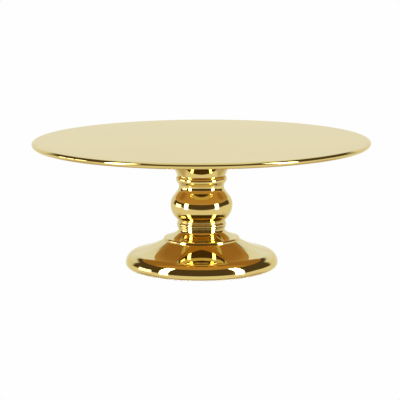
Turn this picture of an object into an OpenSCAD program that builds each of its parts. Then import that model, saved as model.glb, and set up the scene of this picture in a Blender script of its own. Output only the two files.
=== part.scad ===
// Pedestal cake stand: a round plate that screws on to a turned pedestal.
// The pedestal is a stack of turned castings on one central tie rod.
// Z is up, and the origin is on the table under the centre of the foot.

/* [Overall] */
// Height from the table to the top of the plate
total_h = 117; // [113:0.5:125]

/* [Plate] */
// Diameter of the plate
plate_d = 305; // [250:1:360]
// Thickness of the plate
plate_t = 5.2; // [4.6:0.1:6]
// Radius of the edge's lower curve
plate_edge_low_r = 3; // [2.5:0.1:3.2]
// Radius of the edge's tight middle curve
plate_edge_mid_r = 1.6; // [1.2:0.1:1.7]
// Thickness of the gasket between the plate and the pedestal
gasket_t = 1; // [0.5:0.1:2]

/* [Foot] */
// Widest diameter of the foot
foot_d = 138; // [130:0.2:150]
// Radius of the foot's edge below its widest line
foot_lip_r = 4.7; // [3.6:0.1:5.4]
// Radius of the foot's shoulder above its widest line
foot_nose_r = 10; // [9:0.1:11]
// Height of the foot
foot_h = 26.1; // [25.5:0.1:26.5]
// Slope of the foot's hollow dome where it meets the shoulder, in degrees from the table
foot_slope = 12; // [10:0.5:16]
// Wall of the foot
foot_wall = 2.6; // [2:0.1:3]
// Thickness of the silicone ring under the foot
foot_ring_t = 0.8; // [0.6:0.1:2]

/* [Collar] */
// Diameter of the collar that stands on the foot
collar_d = 68.6; // [64:0.2:72]
// Height of the collar
collar_h = 10.1; // [9.8:0.1:10.6]

/* [Stem] */
// Diameter of the plain stem behind the lower beads
stem_d = 41.8; // [40:0.2:42.6]
// Height of the lower ring
lower_ring_h = 7.2; // [7:0.1:7.6]
// Largest diameter of the baluster
baluster_d = 56.1; // [55:0.1:57]
// Height of the baluster
baluster_h = 33.5; // [33.2:0.1:34]
// Smallest diameter of the baluster's neck
neck_d = 40.8; // [40:0.1:41.6]
// Height of the upper ring
upper_ring_h = 8.2; // [8:0.1:8.8]
// Diameter of the upper ring's large bead
upper_bead_d = 46; // [45:0.1:46.6]

/* [Capital] */
// Diameter of the capital where it carries the plate
capital_d = 89; // [86:0.2:92]
// Radius of the capital's hollow curve
bell_r = 34; // [33:0.1:35]
// Wall of the capital
capital_wall = 4; // [3:0.1:4.5]

/* [Fixing] */
// Thread diameter of the tie rod
rod_d = 8; // [6:1:8]

/* [Hidden] */
$fn = 128;

gold = "goldenrod";
steel = "silver";
silicone = "whitesmoke";
eps = 0.01;
arc_steps = 14;

// Running clearance of a centring spigot or a thread, and of a loose hole, on the radius
fit_gap = 0.05;
loose_gap = 0.3;

// Levels of the joints, from the table up
foot_edge_z = foot_ring_t + foot_lip_r;
nose_c = [foot_d / 2 - foot_nose_r, foot_edge_z];
nose_end = nose_c + foot_nose_r * [sin(foot_slope), cos(foot_slope)];
foot_top_z = foot_h;
collar_top_z = foot_top_z + collar_h;
lower_ring_top_z = collar_top_z + lower_ring_h;
baluster_top_z = lower_ring_top_z + baluster_h;
upper_ring_top_z = baluster_top_z + upper_ring_h;
plate_under_z = total_h - plate_t;
capital_top_z = plate_under_z - gasket_t;

// Foot: one hollow curve from the shoulder up to the collar
dome_chord = [nose_end[0] - collar_d / 2, foot_top_z - nose_end[1]];
dome_top_slope = 2 * atan(dome_chord[1] / dome_chord[0]) - foot_slope;
dome_r = norm(dome_chord) / (2 * sin((dome_top_slope - foot_slope) / 2));
dome_c = nose_end + dome_r * [sin(foot_slope), cos(foot_slope)];

// Foot: the web under the collar and the lip that turns in under the edge
foot_web_t = 2.8;
foot_web_z = foot_top_z - foot_web_t;
lip_reach = 9.1;
lip_in_r = foot_d / 2 - lip_reach;
foot_ring_in_margin = 0.6;
foot_ring_out_margin = 0.3;
foot_ring_in_r = lip_in_r + foot_ring_in_margin;
foot_ring_out_r = foot_d / 2 - foot_lip_r - foot_ring_out_margin;

// Every joint in the stack is centred by a spigot on the upper piece
spigot_r = 12;
spigot_h = 2;
socket_h = spigot_h + 0.3;
stem_bore_r = 9;

// Collar: a round edge, a shallow cove and a tight fillet under the lower ring
collar_r = collar_d / 2;
stem_r = stem_d / 2;
collar_edge_r = 1.5;
collar_edge_slope = 12;
fillet_r = 3.6;
fillet_slope = 34;

// Lower ring: a large bead above a small one
low_bead_r = 2.4;
low_bead_out_r = stem_r + 1.35;
low_bead_z = lower_ring_top_z - 2.6;
small_bead_r = 1.35;
small_bead_out_r = stem_r + 1.2;
small_bead_z = collar_top_z + 2.3;

// Baluster: two convex arcs that meet at its widest line, a straight shoulder and a hollow neck
baluster_r = baluster_d / 2;
baluster_low_r = 17.6;
baluster_up_r = 12.5;
baluster_mid_z = lower_ring_top_z + 14.8;
baluster_base_r = stem_r + 0.7;
baluster_wall = 4;
cavity_low_turn = 60;
cavity_up_turn = 75;
neck_r = neck_d / 2;
neck_turn = 34;
neck_cove_r = 6.5;

// Upper ring: a flare up to a large bead
up_bead_r = 4;
up_bead_z = baluster_top_z + 4.8;
up_flare_slope = 32;
up_ring_core_r = neck_r + 0.2;
up_ring_top_r = 21.8;

// Capital: one cove from the upper ring to the plate
capital_r = capital_d / 2;
capital_base_r = 21.8;
bell_start = 20;
capital_edge_r = 1.2;
capital_web_t = 2.5;

// Fixing: M8 rod, nuts and washers
rod_r = rod_d / 2;
rod_hole_r = rod_r + loose_gap;
thread_hole_r = rod_r + fit_gap;
nut_across = 13;
nut_h = 6.5;
nut_chamfer = 0.7;
washer_r = 8;
washer_t = 1.6;
lock_washer_r = 7.4;
lock_washer_t = 1.8;
lock_washer_slit = 1.4;
disc_r = 26;
disc_t = 2.5;
disc_rim = 1;
top_washer_z = upper_ring_top_z + capital_web_t;
top_nut_z = top_washer_z + washer_t;
disc_z = foot_web_z - disc_t;
lock_washer_z = disc_z - lock_washer_t;
low_nut_z = lock_washer_z - nut_h;
rod_tail = 3;
rod_chamfer = 0.8;

// Boss: a flange brazed to the plate, and a threaded sleeve on the rod's upper end
boss_r = 11;
boss_flange_r = 20;
boss_flange_t = 2.4;
boss_gap = 0.7;
boss_cap_t = 2.2;
rod_top_gap = 0.6;
boss_z = top_nut_z + nut_h + boss_gap;
boss_hole_top_z = plate_under_z - boss_cap_t;
rod_top_z = boss_hole_top_z - rod_top_gap;

// Gasket: a flat ring on the capital's rim
gasket_margin = 0.6;
gasket_w = 4;
gasket_out_r = capital_r - gasket_margin;
gasket_in_r = gasket_out_r - gasket_w;

// Points of an arc about c in the (radius, height) plane, from angle a0 to angle a1
function arc(c, r, a0, a1, n = arc_steps) =
    [for (i = [0:n]) let (a = a0 + (a1 - a0) * i / n) c + r * [cos(a), sin(a)]];

// A polygon in the (radius, height) plane, turned about Z
module turned(points) {
    rotate_extrude() polygon(points);
}

module tube(r_out, r_in, z, h) {
    translate([0, 0, z]) difference() {
        cylinder(h = h, r = r_out);
        translate([0, 0, -eps]) cylinder(h = h + 2 * eps, r = r_in);
    }
}

// A bore from z up, cut through with a little to spare at each end
module bore(r, z, h) {
    translate([0, 0, z - eps]) cylinder(h = h + 2 * eps, r = r);
}

// The spigot below a piece that stands at level z
module spigot(z) {
    translate([0, 0, z - spigot_h]) cylinder(h = spigot_h + eps, r = spigot_r);
}

// The socket in the top of a piece that ends at level z
module socket(z) {
    bore(spigot_r + fit_gap, z - socket_h, socket_h);
}

// A flat-topped disc with a full round edge of three curves
module cake_plate() {
    low_end = -3;
    top_start = 50;
    low_drop = plate_edge_low_r - plate_edge_mid_r;
    mid_c = [plate_d / 2 - plate_edge_mid_r,
             plate_under_z + plate_edge_low_r + low_drop * sin(low_end)];
    low_c = mid_c - low_drop * [cos(low_end), sin(low_end)];
    top_rise = total_h - mid_c[1] - plate_edge_mid_r * sin(top_start);
    top_r = top_rise / (1 - sin(top_start));
    top_c = mid_c - (top_r - plate_edge_mid_r) * [cos(top_start), sin(top_start)];
    color(gold) turned(concat(
        [[0, total_h]], [[0, plate_under_z]],
        arc(low_c, plate_edge_low_r, -90, low_end),
        arc(mid_c, plate_edge_mid_r, low_end, top_start, 8),
        arc(top_c, top_r, top_start, 90, 8)
    ));
}

module plate_boss() {
    color(gold) difference() {
        union() {
            translate([0, 0, plate_under_z - boss_flange_t])
                cylinder(h = boss_flange_t, r = boss_flange_r);
            translate([0, 0, boss_z])
                cylinder(h = plate_under_z - boss_flange_t - boss_z + eps, r = boss_r);
        }
        bore(thread_hole_r, boss_z, boss_hole_top_z - boss_z);
    }
}

module plate_gasket() {
    color(silicone) tube(gasket_out_r, gasket_in_r, capital_top_z, gasket_t);
}

// The bell's curve runs from the upper ring to a short upright edge under the plate
function bell_centre() =
    [capital_base_r + bell_r * cos(bell_start), upper_ring_top_z - bell_r * sin(bell_start)];

// Angle on the bell's curve at radius r
function bell_angle(r) = 180 - acos((bell_centre()[0] - r) / bell_r);

module capital() {
    c = bell_centre();
    low_edge = c + bell_r * [cos(bell_angle(capital_r - capital_edge_r)),
                             sin(bell_angle(capital_r - capital_edge_r))];
    inner_r = bell_r + capital_wall;
    web_top_z = upper_ring_top_z + capital_web_t;
    a_web = 180 - asin((web_top_z - c[1]) / inner_r);
    a_top = 180 - asin((capital_top_z - c[1]) / inner_r);
    color(gold) difference() {
        union() {
            turned(concat(
                [[0, upper_ring_top_z]],
                arc(c, bell_r, 180 - bell_start, bell_angle(capital_r - capital_edge_r), 20),
                arc([low_edge[0], low_edge[1] + capital_edge_r], capital_edge_r, -90, 0, 6),
                [[capital_r, capital_top_z], [0, capital_top_z]]
            ));
            spigot(upper_ring_top_z);
        }
        turned(concat(
            [[0, web_top_z]],
            arc(c, inner_r, a_web, a_top, 20),
            [c + inner_r * [cos(a_top), sin(a_top)] + [0, eps], [0, capital_top_z + eps]]
        ));
        bore(rod_hole_r, upper_ring_top_z - spigot_h, capital_web_t + spigot_h);
    }
}

module upper_ring() {
    flare_top = [upper_bead_d / 2 - up_bead_r, up_bead_z]
                + up_bead_r * [cos(up_flare_slope), -sin(up_flare_slope)];
    color(gold) difference() {
        union() {
            translate([0, 0, baluster_top_z])
                cylinder(h = flare_top[1] - baluster_top_z, r1 = up_ring_core_r, r2 = flare_top[0]);
            translate([0, 0, up_bead_z])
                cylinder(h = upper_ring_top_z - up_bead_z, r = up_ring_top_r);
            bead(upper_bead_d / 2, up_bead_r, up_bead_z, baluster_top_z, upper_ring_top_z);
            spigot(baluster_top_z);
        }
        bore(stem_bore_r, baluster_top_z - spigot_h, upper_ring_h + spigot_h);
        socket(upper_ring_top_z);
    }
}

// A round bead that bulges to radius out_r at level z, kept between two levels
module bead(out_r, r, z, z_low, z_high) {
    rotate_extrude() intersection() {
        translate([out_r - r, z]) circle(r = r);
        translate([spigot_r, z_low]) square([out_r, z_high - z_low]);
    }
}

module baluster() {
    low_c = [baluster_r - baluster_low_r, baluster_mid_z];
    up_c = [baluster_r - baluster_up_r, baluster_mid_z];
    base_a = -acos((baluster_base_r - low_c[0]) / baluster_low_r);
    turn = up_c + baluster_up_r * [cos(neck_turn), sin(neck_turn)];
    cove_low_r = neck_r + neck_cove_r * (1 - cos(neck_turn));
    cove_low_z = turn[1] + (turn[0] - cove_low_r) / tan(neck_turn);
    cove_c = [neck_r + neck_cove_r, cove_low_z + neck_cove_r * sin(neck_turn)];
    top_a = 180 - asin((baluster_top_z - cove_c[1]) / neck_cove_r);
    color(gold) difference() {
        union() {
            turned(concat(
                [[0, baluster_top_z], [0, lower_ring_top_z],
                 [baluster_base_r, lower_ring_top_z]],
                arc(low_c, baluster_low_r, base_a, 0, 18),
                arc(up_c, baluster_up_r, 0, neck_turn),
                arc(cove_c, neck_cove_r, 180 + neck_turn, top_a)
            ));
            spigot(lower_ring_top_z);
        }
        turned(concat(
            arc(low_c, baluster_low_r - baluster_wall, -cavity_low_turn, 0),
            arc(up_c, baluster_up_r - baluster_wall, 0, cavity_up_turn),
            [[0, up_c[1] + (baluster_up_r - baluster_wall) * sin(cavity_up_turn)],
             [0, low_c[1] - (baluster_low_r - baluster_wall) * sin(cavity_low_turn)]]
        ));
        bore(stem_bore_r, lower_ring_top_z - spigot_h, baluster_h + spigot_h);
        socket(baluster_top_z);
    }
}

module lower_ring() {
    color(gold) difference() {
        union() {
            translate([0, 0, collar_top_z]) cylinder(h = lower_ring_h, r = stem_r);
            bead(low_bead_out_r, low_bead_r, low_bead_z, collar_top_z, lower_ring_top_z);
            bead(small_bead_out_r, small_bead_r, small_bead_z, collar_top_z, lower_ring_top_z);
            spigot(collar_top_z);
        }
        bore(stem_bore_r, collar_top_z - spigot_h, lower_ring_h + spigot_h);
        socket(lower_ring_top_z);
    }
}

module step_collar() {
    fillet_c = [stem_r + fillet_r, collar_top_z];
    fillet_a = 180 + 90 - fillet_slope;
    cove_start = fillet_c + fillet_r * [cos(fillet_a), sin(fillet_a)];
    edge_c_r = collar_r - collar_edge_r;
    edge_end_r = edge_c_r + collar_edge_r * sin(collar_edge_slope);
    cove_r = (edge_end_r - cove_start[0]) / (sin(fillet_slope) - sin(collar_edge_slope));
    cove_c = cove_start + cove_r * [sin(fillet_slope), cos(fillet_slope)];
    edge_end_z = cove_c[1] - cove_r * cos(collar_edge_slope);
    edge_c = [edge_c_r, edge_end_z - collar_edge_r * cos(collar_edge_slope)];
    color(gold) difference() {
        union() {
            turned(concat(
                [[0, foot_top_z], [collar_r, foot_top_z]],
                arc(edge_c, collar_edge_r, 0, 90 - collar_edge_slope, 8),
                arc(cove_c, cove_r, 270 - collar_edge_slope, 270 - fillet_slope, 8),
                arc(fillet_c, fillet_r, fillet_a, 180, 10),
                [[0, collar_top_z]]
            ));
            spigot(foot_top_z);
        }
        bore(stem_bore_r, foot_top_z - spigot_h, collar_h + spigot_h);
        socket(collar_top_z);
    }
}

// A hollow foot with a flat web on top and a lip that turns in under its edge
module foot() {
    lip_c = [foot_d / 2 - foot_lip_r, foot_edge_z];
    top_a = 90 - foot_slope;
    in_nose_r = foot_nose_r - foot_wall;
    in_lip_r = foot_lip_r - foot_wall;
    in_dome_r = dome_r + foot_wall;
    web_a = 180 + asin((dome_c[1] - foot_web_z) / in_dome_r);
    lip_top_z = foot_ring_t + foot_wall;
    color(gold) turned(concat(
        [[spigot_r + fit_gap, foot_top_z], [spigot_r + fit_gap, foot_web_z]],
        arc(dome_c, in_dome_r, web_a, 270 - foot_slope, 10),
        arc(nose_c, in_nose_r, top_a, 0),
        arc(lip_c, in_lip_r, 0, -90, 8),
        [[lip_in_r, lip_top_z], [lip_in_r, foot_ring_t]],
        arc(lip_c, foot_lip_r, -90, 0),
        arc(nose_c, foot_nose_r, 0, top_a),
        arc(dome_c, dome_r, 270 - foot_slope, 270 - dome_top_slope)
    ));
}

module foot_ring() {
    color(silicone) tube(foot_ring_out_r, foot_ring_in_r, 0, foot_ring_t);
}

module tie_rod() {
    low_z = low_nut_z - rod_tail;
    color(steel) turned([
        [0, low_z], [rod_r - rod_chamfer, low_z], [rod_r, low_z + rod_chamfer],
        [rod_r, rod_top_z - rod_chamfer], [rod_r - rod_chamfer, rod_top_z], [0, rod_top_z]
    ]);
}

// A hexagon nut whose corners are turned back at both ends
module hex_nut(z) {
    corner_r = nut_across / sqrt(3);
    translate([0, 0, z]) difference() {
        intersection() {
            cylinder(h = nut_h, r = corner_r, $fn = 6);
            turned([
                [0, 0], [corner_r - nut_chamfer, 0], [corner_r + eps, nut_chamfer],
                [corner_r + eps, nut_h - nut_chamfer], [corner_r - nut_chamfer, nut_h], [0, nut_h]
            ]);
        }
        bore(thread_hole_r, 0, nut_h);
    }
}

module hex_nuts() {
    color(steel) for (z = [low_nut_z, top_nut_z]) hex_nut(z);
}

module top_washer() {
    color(steel) tube(washer_r, rod_hole_r, top_washer_z, washer_t);
}

// A pressed disc with a rounded rim that spreads the lower nut's pull over the foot's web
module clamp_disc() {
    color(steel) turned(concat(
        [[rod_hole_r, foot_web_z], [rod_hole_r, disc_z]],
        arc([disc_r - disc_rim, disc_z + disc_rim], disc_rim, -90, 0, 6),
        [[disc_r, foot_web_z]]
    ));
}

// A spring washer with one slanting cut
module lock_washer() {
    color(steel) difference() {
        tube(lock_washer_r, rod_hole_r, lock_washer_z, lock_washer_t);
        translate([lock_washer_r - 2, 0, lock_washer_z + lock_washer_t / 2])
            rotate([25, 0, 0])
                cube([8, lock_washer_slit, 3 * lock_washer_t], center = true);
    }
}

cake_plate();
plate_boss();
plate_gasket();
capital();
upper_ring();
baluster();
lower_ring();
step_collar();
foot();
foot_ring();
tie_rod();
hex_nuts();
top_washer();
clamp_disc();
lock_washer();
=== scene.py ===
"""A pedestal cake stand, mirror gold, on a pale floor in a soft studio."""
import math

import bpy
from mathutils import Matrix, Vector


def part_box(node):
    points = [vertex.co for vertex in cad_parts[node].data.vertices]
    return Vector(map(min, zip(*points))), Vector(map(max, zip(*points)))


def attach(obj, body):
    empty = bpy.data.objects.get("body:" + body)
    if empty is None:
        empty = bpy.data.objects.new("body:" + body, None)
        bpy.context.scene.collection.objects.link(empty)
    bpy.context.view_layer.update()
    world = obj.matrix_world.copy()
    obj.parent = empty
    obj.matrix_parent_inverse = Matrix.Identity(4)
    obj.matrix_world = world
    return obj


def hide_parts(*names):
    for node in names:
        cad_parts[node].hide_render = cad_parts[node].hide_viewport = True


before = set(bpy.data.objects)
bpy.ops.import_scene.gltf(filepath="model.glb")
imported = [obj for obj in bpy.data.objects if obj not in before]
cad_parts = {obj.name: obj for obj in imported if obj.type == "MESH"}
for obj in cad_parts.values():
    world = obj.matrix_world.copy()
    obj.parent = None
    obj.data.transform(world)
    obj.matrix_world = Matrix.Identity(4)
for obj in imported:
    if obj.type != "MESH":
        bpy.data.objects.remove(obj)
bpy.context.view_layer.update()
MM = 0.001
RAD = math.radians(1)
SAME = 1e-4       # outline points nearer than this are one point, in millimetres
ON_AXIS = 1e-6    # a radius below this lies on the axis, in millimetres
SHARP = 28 * RAD  # threads, nuts and the spring washer keep edges above this angle

scene = bpy.context.scene


def level(node, top=True):
    """The top or bottom level of a CAD node, in millimetres."""
    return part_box(node)[1 if top else 0].z / MM


def reach(node):
    """How far a CAD node reaches along X, which is the radius of a round one, in millimetres."""
    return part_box(node)[1].x / MM


# ---------------------------------------------------------------- outlines, in (radius, height)

def shift(c, r, angle):
    """The point r away from c at an angle in degrees."""
    return (c[0] + r * math.cos(angle * RAD), c[1] + r * math.sin(angle * RAD))


def arc(c, r, a0, a1, step=4.0):
    """Points of an arc about c, from angle a0 to angle a1, in degrees."""
    n = max(2, math.ceil(abs(a1 - a0) / step))
    return [shift(c, r, a0 + (a1 - a0) * i / n) for i in range(n + 1)]


def cleaned(points):
    """The closed outline without doubled points."""
    out = []
    for p in points:
        if not out or math.dist(p, out[-1]) > SAME:
            out.append(p)
    if math.dist(out[0], out[-1]) < SAME:
        out.pop()
    return out


def softened(points, radius, turn=20):
    """The closed outline with each corner sharper than turn degrees rounded."""
    most_of_side, step = 0.45, 15 * RAD
    points = cleaned(points)
    out = []
    for i, p in enumerate(points):
        a = Vector(points[i - 1]) - Vector(p)
        b = Vector(points[(i + 1) % len(points)]) - Vector(p)
        bend = math.pi - a.angle(b)
        if bend < turn * RAD or p[0] < ON_AXIS:
            out.append(p)
            continue
        cut = min(radius * math.tan(bend / 2), a.length * most_of_side, b.length * most_of_side)
        r = cut / math.tan(bend / 2)
        start, end = Vector(p) + a.normalized() * cut, Vector(p) + b.normalized() * cut
        inward = (a.normalized() + b.normalized()).normalized()
        centre = Vector(p) + inward * math.hypot(cut, r)
        u, v = start - centre, end - centre
        steps = max(2, math.ceil(bend / step))
        out.append(tuple(start))
        out += [tuple(centre + u.lerp(v, k / steps).normalized() * r) for k in range(1, steps)]
        out.append(tuple(end))
    return cleaned(out)


def beads(low, high, core, rounds, fillet=0.45, count=64):
    """The outline of a core from low to high with beads (out_r, r, z) that run into it softly."""
    out = []
    for i in range(count + 1):
        z = low + (high - low) * i / count
        radius = core
        for out_r, r, at in rounds:
            if abs(z - at) < r:
                bulge = out_r - r + math.sqrt(r * r - (z - at) ** 2)
                meet = max(0.0, 1 - abs(radius - bulge) / fillet)
                radius = max(radius, bulge) + fillet * meet * meet / 4
        out.append((radius, z))
    return out


# ---------------------------------------------------------------- meshes

def around(count):
    """The cosine and sine of count even angles round the axis."""
    angles = [2 * math.pi * s / count for s in range(count)]
    return [(math.cos(a), math.sin(a)) for a in angles]


def smooth_mesh(name, verts, faces):
    """A smooth-shaded mesh."""
    mesh = bpy.data.meshes.new(name)
    mesh.from_pydata(verts, [], faces)
    mesh.validate()
    for p in mesh.polygons:
        p.use_smooth = True
    return mesh


def sharp_mesh(name, verts, faces):
    """A smooth-shaded mesh that keeps its sharp edges."""
    mesh = smooth_mesh(name, verts, faces)
    mesh.set_sharp_from_angle(angle=SHARP)
    mesh.update()
    return mesh


def outline_normals(pts):
    """The outward normal at each point of an outline. Edges that lie on the axis don't count."""
    normals = []
    for i, p in enumerate(pts):
        before, after = pts[i - 1], pts[(i + 1) % len(pts)]
        edges = Vector((0, 0))
        for start, end in ((before, p), (p, after)):
            if max(start[0], end[0]) >= ON_AXIS:
                edges += Vector(end) - Vector(start)
        normals.append(Vector((edges.y, -edges.x)).normalized())
    return normals


def ring_faces(lo, hi):
    """The faces between two rings of vertices, either of which may be one point on the axis."""
    count = max(len(lo), len(hi))
    for s in range(count if count > 1 else 0):
        t = (s + 1) % count
        if len(lo) == 1:
            yield (lo[0], hi[t], hi[s])
        elif len(hi) == 1:
            yield (lo[s], lo[t], hi[0])
        else:
            yield (lo[s], lo[t], hi[t], hi[s])


def lathe(name, outline, segments=144):
    """A closed solid of revolution with exact smooth normals. The outline may run either way."""
    pts = cleaned(outline)
    area = sum(pts[i - 1][0] * p[1] - p[0] * pts[i - 1][1] for i, p in enumerate(pts))
    if area < 0:
        pts.reverse()
    verts, normals, rings = [], [], []
    for (r, z), out in zip(pts, outline_normals(pts)):
        if r < ON_AXIS:
            rings.append([len(verts)])
            verts.append((0, 0, z * MM))
            normals.append((0, 0, math.copysign(1, out.y)))
            continue
        rings.append(list(range(len(verts), len(verts) + segments)))
        for c, s in around(segments):
            verts.append((r * c * MM, r * s * MM, z * MM))
            normals.append((out.x * c, out.x * s, out.y))
    faces = [f for i, lo in enumerate(rings) for f in ring_faces(lo, rings[(i + 1) % len(rings)])]
    mesh = smooth_mesh(name, verts, faces)
    mesh.normals_split_custom_set_from_vertices(normals)
    mesh.update()
    return mesh


def row_solid(name, rows, looped=False):
    """A solid from rows of points, joined in turn. Its ends are capped, or meet if looped."""
    verts = [tuple(c * MM for c in p) for row in rows for p in row]
    m, n = len(rows), len(rows[0])
    faces = []
    for i in range(m if looped else m - 1):
        k = (i + 1) % m
        for s in range(n):
            t = (s + 1) % n
            faces.append((i * n + s, i * n + t, k * n + t, k * n + s))
    if not looped:
        faces.append(tuple(reversed(range(n))))
        faces.append(tuple(range((m - 1) * n, m * n)))
    return sharp_mesh(name, verts, faces)


def joined(name, parts):
    """One mesh made of several, which are removed."""
    verts, faces = [], []
    for part in parts:
        skip = len(verts)
        verts += [tuple(v.co) for v in part.vertices]
        faces += [tuple(i + skip for i in p.vertices) for p in part.polygons]
    for part in parts:
        bpy.data.meshes.remove(part)
    return sharp_mesh(name, verts, faces)


def ring_point(r, z, a):
    """The point at a radius, a level and an angle in radians."""
    return (r * math.cos(a), r * math.sin(a), z)


# ---------------------------------------------------------------- materials

class Net:
    """Short names for the nodes of one tree."""

    def __init__(self, tree):
        self.tree = tree
        tree.nodes.clear()

    def node(self, kind, **values):
        n = self.tree.nodes.new(kind)
        for key, value in values.items():
            setattr(n, key, value)
        return n

    def plug(self, socket, value):
        if isinstance(value, bpy.types.NodeSocket):
            self.tree.links.new(value, socket)
        else:
            socket.default_value = value

    def math(self, op, a, b=None):
        n = self.node("ShaderNodeMath", operation=op)
        self.plug(n.inputs[0], a)
        if b is not None:
            self.plug(n.inputs[1], b)
        return n.outputs[0]

    def ramp(self, value, low, high, out_low=0.0, out_high=1.0):
        n = self.node("ShaderNodeMapRange", interpolation_type="SMOOTHSTEP")
        for i, v in enumerate((value, low, high, out_low, out_high)):
            self.plug(n.inputs[i], v)
        return n.outputs[0]

    def turn_ramp(self, value, low, high, out_low=0.0, out_high=1.0):
        """A ramp between two angles in degrees."""
        return self.ramp(value, low * RAD, high * RAD, out_low, out_high)

    def turn_window(self, value, low, high, soft):
        """One between two angles in degrees, and nothing outside them."""
        up = self.turn_ramp(value, low - soft, low + soft)
        down = self.turn_ramp(value, high - soft, high + soft, 1.0, 0.0)
        return self.math("MULTIPLY", up, down)

    def noise(self, vector, scale, detail=2.0, rough=0.5):
        n = self.node("ShaderNodeTexNoise")
        self.plug(n.inputs["Vector"], vector)
        for key, v in (("Scale", scale), ("Detail", detail), ("Roughness", rough)):
            n.inputs[key].default_value = v
        return n.outputs["Fac"]

    def colours(self, value, stops):
        n = self.node("ShaderNodeValToRGB")
        self.plug(n.inputs[0], value)
        ramp = n.color_ramp
        while len(ramp.elements) < len(stops):
            ramp.elements.new(0.5)
        for e, (pos, col) in zip(ramp.elements, stops):
            e.position, e.color = pos, (*col, 1)
        return n.outputs[0]

    def bump(self, height, strength, distance):
        n = self.node("ShaderNodeBump")
        self.plug(n.inputs["Height"], height)
        n.inputs["Strength"].default_value = strength
        n.inputs["Distance"].default_value = distance
        return n.outputs[0]

    def blend(self, a, b, fac):
        n = self.node("ShaderNodeMix", data_type="RGBA")
        for socket, v in ((n.inputs[0], fac), (n.inputs[6], a), (n.inputs[7], b)):
            self.plug(socket, (*v, 1) if isinstance(v, tuple) else v)
        return n.outputs[2]

    def add_light(self, glow, colour, fac):
        """The glow with fac times a colour added."""
        light = self.node("ShaderNodeVectorMath", operation="SCALE")
        self.plug(light.inputs[0], colour)
        self.plug(light.inputs["Scale"], fac)
        both = self.node("ShaderNodeVectorMath", operation="ADD")
        self.plug(both.inputs[0], glow)
        self.plug(both.inputs[1], light.outputs[0])
        return both.outputs[0]


def material(name):
    """A new material, with its Net, its Principled node and its object coordinates."""
    m = bpy.data.materials.new(name)
    m.use_nodes = True
    net = Net(m.node_tree)
    out = net.node("ShaderNodeOutputMaterial")
    bsdf = net.node("ShaderNodeBsdfPrincipled")
    net.plug(out.inputs[0], bsdf.outputs[0])
    place = net.node("ShaderNodeTexCoord").outputs["Object"]
    return m, net, bsdf, place


def gold(name, deep, light, haze_at=0.0):
    """Mirror-polished plating: faint tone drift, wiped haze and a trace of buffing waviness."""
    m, net, bsdf, place = material(name)
    bsdf.inputs["Metallic"].default_value = 1.0
    bsdf.inputs["Specular Tint"].default_value = (1.0, 1.0, 1.0, 1.0)
    drift = net.noise(place, scale=9.0)
    net.plug(bsdf.inputs["Base Color"], net.colours(drift, [(0.30, deep), (0.70, light)]))
    haze = net.noise(place, scale=38.0, detail=5.0, rough=0.6)
    fine = net.noise(place, scale=420.0, detail=3.0, rough=0.6)
    wipe = net.math("ADD", net.ramp(haze, 0.35, 0.75, haze_at + 0.022, haze_at + 0.050),
                    net.ramp(fine, 0.45, 0.80, 0.0, 0.016))
    net.plug(bsdf.inputs["Roughness"], wipe)
    wave = net.noise(place, scale=26.0, detail=1.0, rough=0.4)
    net.plug(bsdf.inputs["Normal"], net.bump(wave, strength=0.10, distance=0.0004))
    return m


def steel():
    """Bright zinc plate with a spangled grain."""
    m, net, bsdf, place = material("zinc_steel")
    bsdf.inputs["Metallic"].default_value = 1.0
    cells = net.node("ShaderNodeTexVoronoi")
    net.plug(cells.inputs["Vector"], place)
    cells.inputs["Scale"].default_value = 700.0
    tone = net.noise(place, scale=160.0, detail=4.0)
    net.plug(bsdf.inputs["Base Color"], net.colours(tone, [
        (0.30, (0.50, 0.51, 0.53)), (0.55, (0.62, 0.62, 0.63)), (0.75, (0.66, 0.64, 0.60))]))
    net.plug(bsdf.inputs["Roughness"], net.ramp(cells.outputs["Distance"], 0.0, 0.7, 0.22, 0.38))
    grain = net.noise(place, scale=900.0, detail=3.0)
    net.plug(bsdf.inputs["Normal"], net.bump(grain, strength=0.25, distance=0.0001))
    return m


def silicone():
    """Milky white silicone with a fine matt skin."""
    m, net, bsdf, place = material("white_silicone")
    milk = net.noise(place, scale=220.0, detail=5.0, rough=0.6)
    net.plug(bsdf.inputs["Base Color"], net.colours(milk, [
        (0.35, (0.74, 0.73, 0.69)), (0.72, (0.83, 0.82, 0.79))]))
    matt = net.noise(place, scale=500.0, detail=3.0)
    net.plug(bsdf.inputs["Roughness"], net.ramp(matt, 0.3, 0.7, 0.45, 0.70))
    skin = net.noise(place, scale=1600.0, detail=4.0)
    net.plug(bsdf.inputs["Normal"], net.bump(skin, strength=0.5, distance=0.0002))
    bsdf.inputs["Subsurface Weight"].default_value = 0.4
    bsdf.inputs["Subsurface Radius"].default_value = (0.002, 0.002, 0.0015)
    return m


GOLD = gold("gold_plating", deep=(0.710, 0.535, 0.185), light=(0.740, 0.570, 0.210))
STEEL, SILICONE = steel(), silicone()
# The plate's underside gets a darker, more amber copy of the gold: painted shade and painted
# gold-on-gold reflection. Its extra haze is real roughness.
SHADED_UNDER_GOLD = gold("gold_underside_painted_shade", deep=(0.600, 0.345, 0.100), light=(0.640, 0.375, 0.120),
                  haze_at=0.05)


# ---------------------------------------------------------------- levels and radii, in millimetres

TOP = level("cake_plate")
PLATE_UNDER = level("plate_boss")
CAPITAL_TOP = level("capital")
UPPER_TOP = level("upper_ring")
BALUSTER_TOP = level("baluster")
LOWER_TOP = level("lower_ring")
COLLAR_TOP = level("step_collar")
FOOT_TOP = level("foot")
RING_TOP = level("foot_ring")
STEM_R = 20.9       # the straight core of the lower ring
BORE_R = 9.0        # the bore of the stacked castings
SPIGOT_R = 12.0     # the spigot under each casting
SPIGOT_H = 2.0
SOCKET_ROOM = 0.3   # depth of a socket past its spigot
FIT = 0.05          # radial clearance of spigots and threads
ROD_R = 4.0
ROD_HOLE_R = ROD_R + 0.3
PITCH = 1.25


# ---------------------------------------------------------------- pieces

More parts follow.
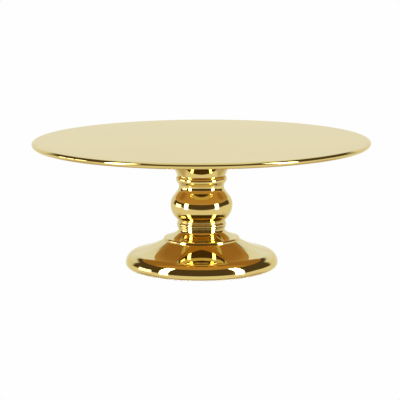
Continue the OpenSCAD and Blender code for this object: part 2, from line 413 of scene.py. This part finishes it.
def piece(name, mesh, node, body="pedestal", materials=(GOLD,)):
    """A new object that stands for a CAD node and moves with its body."""
    ob = bpy.data.objects.new(name, mesh)
    scene.collection.objects.link(ob)
    for m in materials:
        mesh.materials.append(m)
    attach(ob, body)
    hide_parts(node)
    return ob


def fixing(name, mesh, node):
    """A piece of zinc-plated steel."""
    return piece(name, mesh, node, "pedestal", (STEEL,))


def socket(top):
    """The socket in the top of a stacked piece, down to its bore."""
    floor = top - SPIGOT_H - SOCKET_ROOM
    return [(SPIGOT_R + FIT, top), (SPIGOT_R + FIT, floor), (BORE_R, floor)]


def spigot(low, bore_r=BORE_R):
    """The spigot under a stacked piece, from its bore out."""
    return [(bore_r, low - SPIGOT_H), (SPIGOT_R, low - SPIGOT_H), (SPIGOT_R, low)]


def plate():
    """A disc whose top rolls off a little before its edge of three curves."""
    edge_r = reach("cake_plate")
    low_r, mid_r = 3.0, 1.6
    low_end, mid_end, top_end = -3, 50, 84
    mid_c = (edge_r - mid_r, PLATE_UNDER + low_r + (low_r - mid_r) * math.sin(low_end * RAD))
    low_c = shift(mid_c, mid_r - low_r, low_end)
    mid_sin = math.sin(mid_end * RAD)
    top_r = (TOP - mid_c[1] - mid_r * mid_sin) / (1 - mid_sin)
    top_c = shift(mid_c, mid_r - top_r, mid_end)
    shoulder = arc(mid_c, mid_r, low_end, mid_end, 5) + arc(top_c, top_r, mid_end, top_end, 4)
    roll_wide, roll_power = 5.0, 2.2
    roll_r, roll_z = shoulder[-1]
    roll = [(roll_r - roll_wide * t, roll_z + (TOP - roll_z) * (1 - (1 - t) ** roll_power))
            for t in (0.06, 0.14, 0.24, 0.36, 0.5, 0.66, 0.84, 1.0)]
    outline = ([(r, PLATE_UNDER) for r in (0, 60, 120)] + arc(low_c, low_r, -90, low_end)
               + shoulder + roll + [(r, TOP) for r in (130, 100, 60, 25, 0)])
    mesh = lathe("plate", outline, 256)
    piece("plate", mesh, "cake_plate", "plate", materials=(GOLD, SHADED_UNDER_GOLD))
    # Downward faces take the darker amber gold, which paints the shade and gold-on-gold reflection
    # under the plate.
    for p in mesh.polygons:
        if p.normal.z < -0.9:
            p.material_index = 1


def boss():
    """The flange and the threaded sleeve under the plate."""
    flange_r, flange_h, sleeve_r, root_r, lead, hole_h = 20, 2.4, 11, 2, 0.9, 2.2
    low = level("plate_boss", False)
    flange, hole_top = PLATE_UNDER - flange_h, PLATE_UNDER - hole_h
    outline = ([(0, PLATE_UNDER), (flange_r, PLATE_UNDER), (flange_r, flange),
                (sleeve_r + root_r, flange)]
               + arc((sleeve_r + root_r, flange - root_r), root_r, 90, 180, 15)
               + [(sleeve_r, low), (ROD_R + lead, low), (ROD_R + FIT, low + lead),
                  (ROD_R + FIT, hole_top), (0, hole_top)])
    piece("boss", lathe("boss", softened(outline, 0.3), 96), "plate_boss", "plate")


def ring_seal(name, node, body, width, low, top, soft, segments):
    """A plain ring of silicone."""
    r = reach(node)
    outline = [(r - width, low), (r, low), (r, top), (r - width, top)]
    piece(name, lathe(name, softened(outline, soft), segments), node, body,
          (SILICONE,))


def trumpet():
    """The capital: a bell that opens from the upper ring to the plate."""
    bell_r, wall, lip, web_h = 34.0, 4.0, 1.2, 2.5
    throat_r, throat_a = 21.8, 20
    edge_r = reach("capital")
    bell_c = shift((throat_r, UPPER_TOP), bell_r, -throat_a)
    lip_a = 180 - math.acos((bell_c[0] - edge_r + lip) / bell_r) / RAD
    lip_z = bell_c[1] + bell_r * math.sin(lip_a * RAD)
    web = UPPER_TOP + web_h
    in_r = bell_r + wall
    in_top = 180 - math.asin((CAPITAL_TOP - bell_c[1]) / in_r) / RAD
    in_web = 180 - math.asin((web - bell_c[1]) / in_r) / RAD
    outline = (arc(bell_c, bell_r, 180 - throat_a, lip_a, 3)
               + arc((edge_r - lip, lip_z + lip), lip, -90, 0, 12)
               + [(edge_r, CAPITAL_TOP)] + arc(bell_c, in_r, in_top, in_web, 4)
               + [(ROD_HOLE_R, web)] + spigot(UPPER_TOP, ROD_HOLE_R))
    piece("trumpet", lathe("trumpet", softened(outline, 0.2), 192), "capital")


def upper_beads():
    """The upper ring: a slightly hollow flare that runs up into one bead."""
    bead_c, bead_r, bead_low, bead_top = (19.0, BALUSTER_TOP + 4.8), 4.0, -32, 44
    low_r, hollow, top_r = 20.6, 0.1, 21.75
    flare = shift(bead_c, bead_r, bead_low)
    half_way = (0.5 * (low_r - hollow + flare[0]), 0.5 * (BALUSTER_TOP + flare[1]))
    outline = ([(low_r, BALUSTER_TOP), half_way] + arc(bead_c, bead_r, bead_low, bead_top)
               + [(top_r, UPPER_TOP)] + socket(UPPER_TOP) + spigot(BALUSTER_TOP))
    piece("upper_beads", lathe("upper_beads", softened(outline, 0.15), 160), "upper_ring")


def bulb():
    """The baluster: a fillet, a belly of two arcs, a straight shoulder and a hollow neck."""
    belly, low_r, up_r, wall = reach("baluster"), 17.6, 13.0, 4
    belly_h, neck_r, shoulder_a, cove_r = 14.8, 20.4, 38, 7.5
    base_r, base_a = 1.5, -49
    cavity_top_a, cavity_low_a, bore_gap = 75, -60, 0.2
    belly_z = LOWER_TOP + belly_h
    low_c, up_c = (belly - low_r, belly_z), (belly - up_r, belly_z)
    turn = shift(up_c, up_r, shoulder_a)
    cove_low = neck_r + cove_r * (1 - math.cos(shoulder_a * RAD))
    cove_c = (neck_r + cove_r, turn[1] + (turn[0] - cove_low) / math.tan(shoulder_a * RAD)
              + cove_r * math.sin(shoulder_a * RAD))
    cove_end = 180 - math.asin((BALUSTER_TOP - cove_c[1]) / cove_r) / RAD
    base_c = shift(shift(low_c, low_r, base_a), base_r, base_a)
    base_end = 180 - math.asin((LOWER_TOP - base_c[1]) / base_r) / RAD
    cavity = (arc(up_c, up_r - wall, cavity_top_a, 0, 8)
              + arc(low_c, low_r - wall, 0, cavity_low_a, 8))
    cavity = [p for p in cavity if p[0] > BORE_R + bore_gap]
    outline = (arc(base_c, base_r, base_end, 180 + base_a, 10) + arc(low_c, low_r, base_a, 0, 3)
               + arc(up_c, up_r, 0, shoulder_a, 3)
               + arc(cove_c, cove_r, 180 + shoulder_a, cove_end) + socket(BALUSTER_TOP)
               + [(BORE_R, cavity[0][1])] + cavity + [(BORE_R, cavity[-1][1])]
               + spigot(LOWER_TOP))
    piece("bulb", lathe("bulb", softened(outline, 0.15, 25), 192), "baluster")


def lower_beads():
    """The lower ring: a small bead, a large one and a trace of a third under the bulb."""
    rounds = [(STEM_R + 1.2, 1.35, COLLAR_TOP + 2.3), (STEM_R + 1.35, 2.4, LOWER_TOP - 2.6),
              (STEM_R + 0.7, 1.3, LOWER_TOP + 0.1)]
    outline = (beads(COLLAR_TOP, LOWER_TOP, STEM_R, rounds)
               + socket(LOWER_TOP) + spigot(COLLAR_TOP))
    piece("lower_beads", lathe("lower_beads", softened(outline, 0.15), 160), "lower_ring")


def collar():
    """The step collar: a round edge, a shallow cove and a tight fillet."""
    fillet, edge, edge_slope, fillet_slope = 3.6, 1.5, 12, 34
    out_r = reach("step_collar")
    fillet_c = (STEM_R + fillet, COLLAR_TOP)
    meet = shift(fillet_c, fillet, 270 - fillet_slope)
    edge_r = out_r - edge
    cove_r = ((edge_r + edge * math.sin(edge_slope * RAD) - meet[0])
              / (math.sin(fillet_slope * RAD) - math.sin(edge_slope * RAD)))
    cove_c = shift(meet, cove_r, 90 - fillet_slope)
    edge_c = (edge_r, cove_c[1] - (cove_r + edge) * math.cos(edge_slope * RAD))
    outline = ([(out_r, FOOT_TOP)] + arc(edge_c, edge, 0, 90 - edge_slope, 6)
               + arc(cove_c, cove_r, 270 - edge_slope, 270 - fillet_slope, 1.5)
               + arc(fillet_c, fillet, 270 - fillet_slope, 180, 6)
               + socket(COLLAR_TOP) + spigot(FOOT_TOP))
    piece("collar", lathe("collar", softened(outline, 0.15), 192), "step_collar")


def dome():
    """The foot: a hollow curve that sweeps out to a round shoulder, and a lip that turns in."""
    slope, nose, lip, lip_w, skin, web_h = 12.0, 10.0, 4.7, 9.1, 2.6, 2.8
    out_r = reach("foot")
    round_z = RING_TOP + lip
    nose_c, lip_c = (out_r - nose, round_z), (out_r - lip, round_z)
    rim = shift(nose_c, nose, 90 - slope)
    chord = (rim[0] - reach("step_collar"), FOOT_TOP - rim[1])
    top_slope = 2 * math.atan2(chord[1], chord[0]) / RAD - slope
    sweep_r = math.hypot(*chord) / (2 * math.sin((top_slope - slope) / 2 * RAD))
    sweep_c = shift(rim, sweep_r, 90 - slope)
    under = FOOT_TOP - web_h
    web_a = 180 + math.asin((sweep_c[1] - under) / (sweep_r + skin)) / RAD
    outline = ([(SPIGOT_R + FIT, FOOT_TOP), (SPIGOT_R + FIT, under)]
               + arc(sweep_c, sweep_r + skin, web_a, 270 - slope, 2)
               + arc(nose_c, nose - skin, 90 - slope, 0) + arc(lip_c, lip - skin, 0, -90, 10)
               + [(out_r - lip_w, RING_TOP + skin), (out_r - lip_w, RING_TOP)]
               + arc(lip_c, lip, -90, 0) + arc(nose_c, nose, 0, 90 - slope, 3)
               + arc(sweep_c, sweep_r, 270 - slope, 270 - top_slope, 1))
    piece("dome", lathe("dome", softened(outline, 0.3), 256), "foot")


def thread_radius(z, angle, low, high):
    """A rod's radius at a level and angle: a rounded thread that fades in at each end."""
    depth, crest, flank, fade_h = 0.62, 1.25, 2.6, 1.0
    turn_part = (z / PITCH - angle / (2 * math.pi)) % 1
    tooth = min(1, max(0, crest - flank * abs(turn_part - 0.5)))
    fade = min(1, max(0, (z - low) / fade_h), max(0, (high - z) / fade_h))
    return ROD_R - depth * (1 - tooth * fade)


def rod():
    """The tie rod, threaded at both ends, with a chamfer on each tip."""
    sides, steps_per_turn, low_thread, top_thread = 36, 8, 13.0, 21.5
    tip_h, tip_cut = 0.7, 0.55
    low_end, top_end = level("tie_rod", False), level("tie_rod")
    rows = []
    for low, high in ((low_end, low_end + low_thread), (top_end - top_thread, top_end)):
        count = round((high - low) / (PITCH / steps_per_turn))
        for i in range(count + 1):
            z = low + (high - low) * i / count
            full = min(1.0, (z - low_end) / tip_h, (top_end - z) / tip_h)
            tip = tip_cut * (1 - max(0, full))
            angles = [2 * math.pi * s / sides for s in range(sides)]
            rows.append([ring_point(thread_radius(z, a, low, high) - tip, z, a) for a in angles])
    fixing("rod", row_solid("rod", rows), "tie_rod")


def nut_rows(z0, height, across, sides=72):
    """Rings of a chamfered hexagon nut, round its section."""
    flat = across / 2
    face, lead = flat - 0.35, 0.6
    top = z0 + height
    angles = [2 * math.pi * s / sides for s in range(sides)]

    def plain(r, z):
        return [ring_point(r, z, a) for a in angles]

    def hexagon(end, sign):
        corners = [flat / math.cos((a + math.pi / 6) % (math.pi / 3) - math.pi / 6)
                   for a in angles]
        return [ring_point(r, end + sign * (r - face) * math.tan(30 * RAD), a)
                for r, a in zip(corners, angles)]

    return [plain(ROD_R + FIT, z0 + lead), plain(ROD_R + lead, z0), plain(face, z0),
            hexagon(z0, 1), hexagon(top, -1),
            plain(face, top), plain(ROD_R + lead, top), plain(ROD_R + FIT, top - lead)]


def nuts():
    """The two hexagon nuts, which share a node."""
    nut_h, across = 6.5, 13.0
    lows = (level("hex_nuts", False), level("hex_nuts") - nut_h)
    parts = [row_solid("nut", nut_rows(z, nut_h, across), looped=True) for z in lows]
    fixing("nuts", joined("nuts", parts), "hex_nuts")


def washer():
    """The flat washer under the upper nut."""
    low, top, out_r = level("top_washer", False), level("top_washer"), reach("top_washer")
    outline = [(ROD_HOLE_R, low), (out_r, low), (out_r, top), (ROD_HOLE_R, top)]
    fixing("washer", lathe("washer", softened(outline, 0.3), 96), "top_washer")


def disc():
    """The clamp disc under the foot's web, with a rounded lower edge."""
    edge = 1
    low, top, out_r = level("clamp_disc", False), level("clamp_disc"), reach("clamp_disc")
    outline = (arc((out_r - edge, low + edge), edge, -90, 0, 10)
               + [(out_r, top), (ROD_HOLE_R, top), (ROD_HOLE_R, low)])
    fixing("disc", lathe("disc", softened(outline, 0.25), 96), "clamp_disc")


def spring_washer():
    """The spring washer: a ring with one slanting cut."""
    half_cut, slant, steps = 0.11, 0.075, 72
    low, top = level("lock_washer", False), level("lock_washer")
    out_r = max(reach("lock_washer"), -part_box("lock_washer")[0].x / MM)
    section = softened([(ROD_HOLE_R, low), (out_r, low), (out_r, top), (ROD_HOLE_R, top)], 0.25)
    rows = []
    for i in range(steps + 1):
        a = half_cut + (2 * math.pi - 2 * half_cut) * i / steps
        rows.append([ring_point(r, z, a - (z - (low + top) / 2) * slant) for r, z in section])
    fixing("spring_washer", row_solid("spring_washer", rows), "lock_washer")


plate()
boss()
ring_seal("gasket", "plate_gasket", "gasket", width=4, low=CAPITAL_TOP, top=PLATE_UNDER,
          soft=0.3, segments=144)
trumpet()
upper_beads()
bulb()
lower_beads()
collar()
dome()
ring_seal("foot_pad", "foot_ring", "pedestal", width=3.5, low=0, top=RING_TOP,
          soft=0.25, segments=192)
rod()
nuts()
washer()
disc()
spring_washer()


# ---------------------------------------------------------------- studio

def sky_colour(net):
    """The room that the gold mirrors, as a colour for each direction. Angles are in degrees:
    azimuth goes round from the camera's side, height up from the horizon, and over rises on the
    camera's side and comes down behind the stand."""
    ray = net.node("ShaderNodeSeparateXYZ")
    net.plug(ray.inputs[0], net.node("ShaderNodeTexCoord").outputs["Generated"])
    x, y, z = ray.outputs
    front = net.math("MULTIPLY", y, -1.0)
    azimuth = net.math("ARCTAN2", x, front)
    side = net.math("ABSOLUTE", azimuth)
    height = net.math("ARCSINE", z)
    over = net.math("ARCTAN2", z, front)

    # A pale wall behind and a pale roof, but dark high up at the left and right
    back = net.turn_ramp(side, 122, 132)
    roof = net.math("MULTIPLY", net.turn_ramp(over, 80, 88), net.turn_ramp(height, 32, 50))
    aloft = net.math("MULTIPLY", net.ramp(net.math("ABSOLUTE", x), 0.22, 0.34),
                     net.turn_ramp(height, 25, 31))
    pale = net.math("MULTIPLY", net.math("MAXIMUM", back, roof),
                    net.math("SUBTRACT", 1.0, aloft))
    low_wall, high_wall = (0.895, 0.895, 0.76), (0.93, 1.0, 1.04)
    wall = net.blend(low_wall, high_wall, net.turn_ramp(height, 10.5, 15.0))

    # The dark camera side over a pale table, and the table's shaded far part
    dark, table = (0.100, 0.072, 0.040), (0.97, 0.97, 0.93)
    shaded_table = (0.64, 0.56, 0.46)
    glow = net.blend(dark, table, net.turn_ramp(over, -19.0, -14.0, 1.0, 0.0))
    glow = net.blend(glow, wall, pale)
    shade = net.math("MULTIPLY", net.turn_ramp(height, -40, -25, 1.0, 0.0),
                     net.ramp(front, -0.25, 0.05, 1.0, 0.0))
    glow = net.blend(glow, shaded_table, shade)

    # Two tall soft boxes, and a window with two bars at the left
    boxes = net.math("MULTIPLY", net.turn_window(side, 52.3, 66.5, 0.9),
                     net.turn_window(height, -14, 50, 3))
    window = net.math("MULTIPLY", net.turn_window(azimuth, -109, -82, 1.2),
                      net.turn_window(height, -7, 9, 1.2))
    bar_w = 0.9
    for at in (-93, -101):
        off = net.math("ABSOLUTE", net.math("SUBTRACT", azimuth, at * RAD))
        window = net.math("MULTIPLY", window, net.turn_ramp(off, bar_w * 0.5, bar_w))
    glow = net.add_light(glow, (15.0, 15.0, 14.6), boxes)
    return net.add_light(glow, (4.0, 4.0, 3.9), window)


def light_world():
    """The world that lights the stand with the room."""
    world = bpy.data.worlds.new("studio")
    world.use_nodes = True
    scene.world = world
    net = Net(world.node_tree)
    sky = net.node("ShaderNodeBackground")
    net.plug(sky.inputs["Color"], sky_colour(net))
    net.plug(net.node("ShaderNodeOutputWorld").inputs[0], sky.outputs[0])


def white(name, see_through=False):
    """An even white. With see_through it can be looked through from its back."""
    m = bpy.data.materials.new(name)
    m.use_nodes = True
    net = Net(m.node_tree)
    light = net.node("ShaderNodeEmission")
    light.inputs["Strength"].default_value = 0.99
    surface = light.outputs[0]
    if see_through:
        mix = net.node("ShaderNodeMixShader")
        net.plug(mix.inputs[0], net.node("ShaderNodeNewGeometry").outputs["Backfacing"])
        net.plug(mix.inputs[1], surface)
        net.plug(mix.inputs[2], net.node("ShaderNodeBsdfTransparent").outputs[0])
        surface = mix.outputs[0]
    net.plug(net.node("ShaderNodeOutputMaterial").inputs[0], surface)
    return m


def stage(name, verts, faces, shader):
    """A stage object that only the camera sees."""
    mesh = bpy.data.meshes.new(name)
    mesh.from_pydata(verts, [], faces)
    mesh.materials.append(shader)
    ob = bpy.data.objects.new(name, mesh)
    scene.collection.objects.link(ob)
    ob.visible_glossy = ob.visible_diffuse = False
    ob.visible_transmission = ob.visible_shadow = False
    return ob


def floor():
    """A wide white floor at the stand's feet."""
    half = 8.0
    corners = [(-half, -half, 0), (half, -half, 0), (half, half, 0), (-half, half, 0)]
    stage("floor", corners, [tuple(range(4))], white("floor_white", see_through=True))


def backdrop():
    """A closed white shell all round, from tiers of (radius, height)."""
    tiers = [(5.8, -3.4), (6.6, -1.2), (6.8, 1.2), (6.0, 3.6), (4.2, 5.4), (1.6, 6.6)]
    count = 48
    verts = [(r * c, r * s, h) for r, h in tiers for c, s in around(count)]
    rings = [range(i * count, (i + 1) * count) for i in range(len(tiers))]
    faces = [f for lo, hi in zip(rings, rings[1:]) for f in ring_faces(lo, hi)]
    stage("backdrop", verts, faces + [tuple(rings[0]), tuple(rings[-1])],
          white("backdrop_white"))


def aim_camera():
    """A long lens a little above the plate, level but for a trace of roll."""
    camera = bpy.data.cameras.new("camera")
    camera.lens = 179.46
    camera.sensor_width = 36.0
    camera.clip_start, camera.clip_end = 0.05, 50.0
    ob = bpy.data.objects.new("camera", camera)
    scene.collection.objects.link(ob)
    down, roll = 9.257, 0.004
    ob.location = (-0.0002, -1.7805, 0.3521)
    ob.rotation_euler = ((90 - down) * RAD, roll, 0)
    scene.camera = ob


scene.view_settings.view_transform = "Standard"
scene.view_settings.look = "None"
light_world()
floor()
backdrop()
aim_camera()
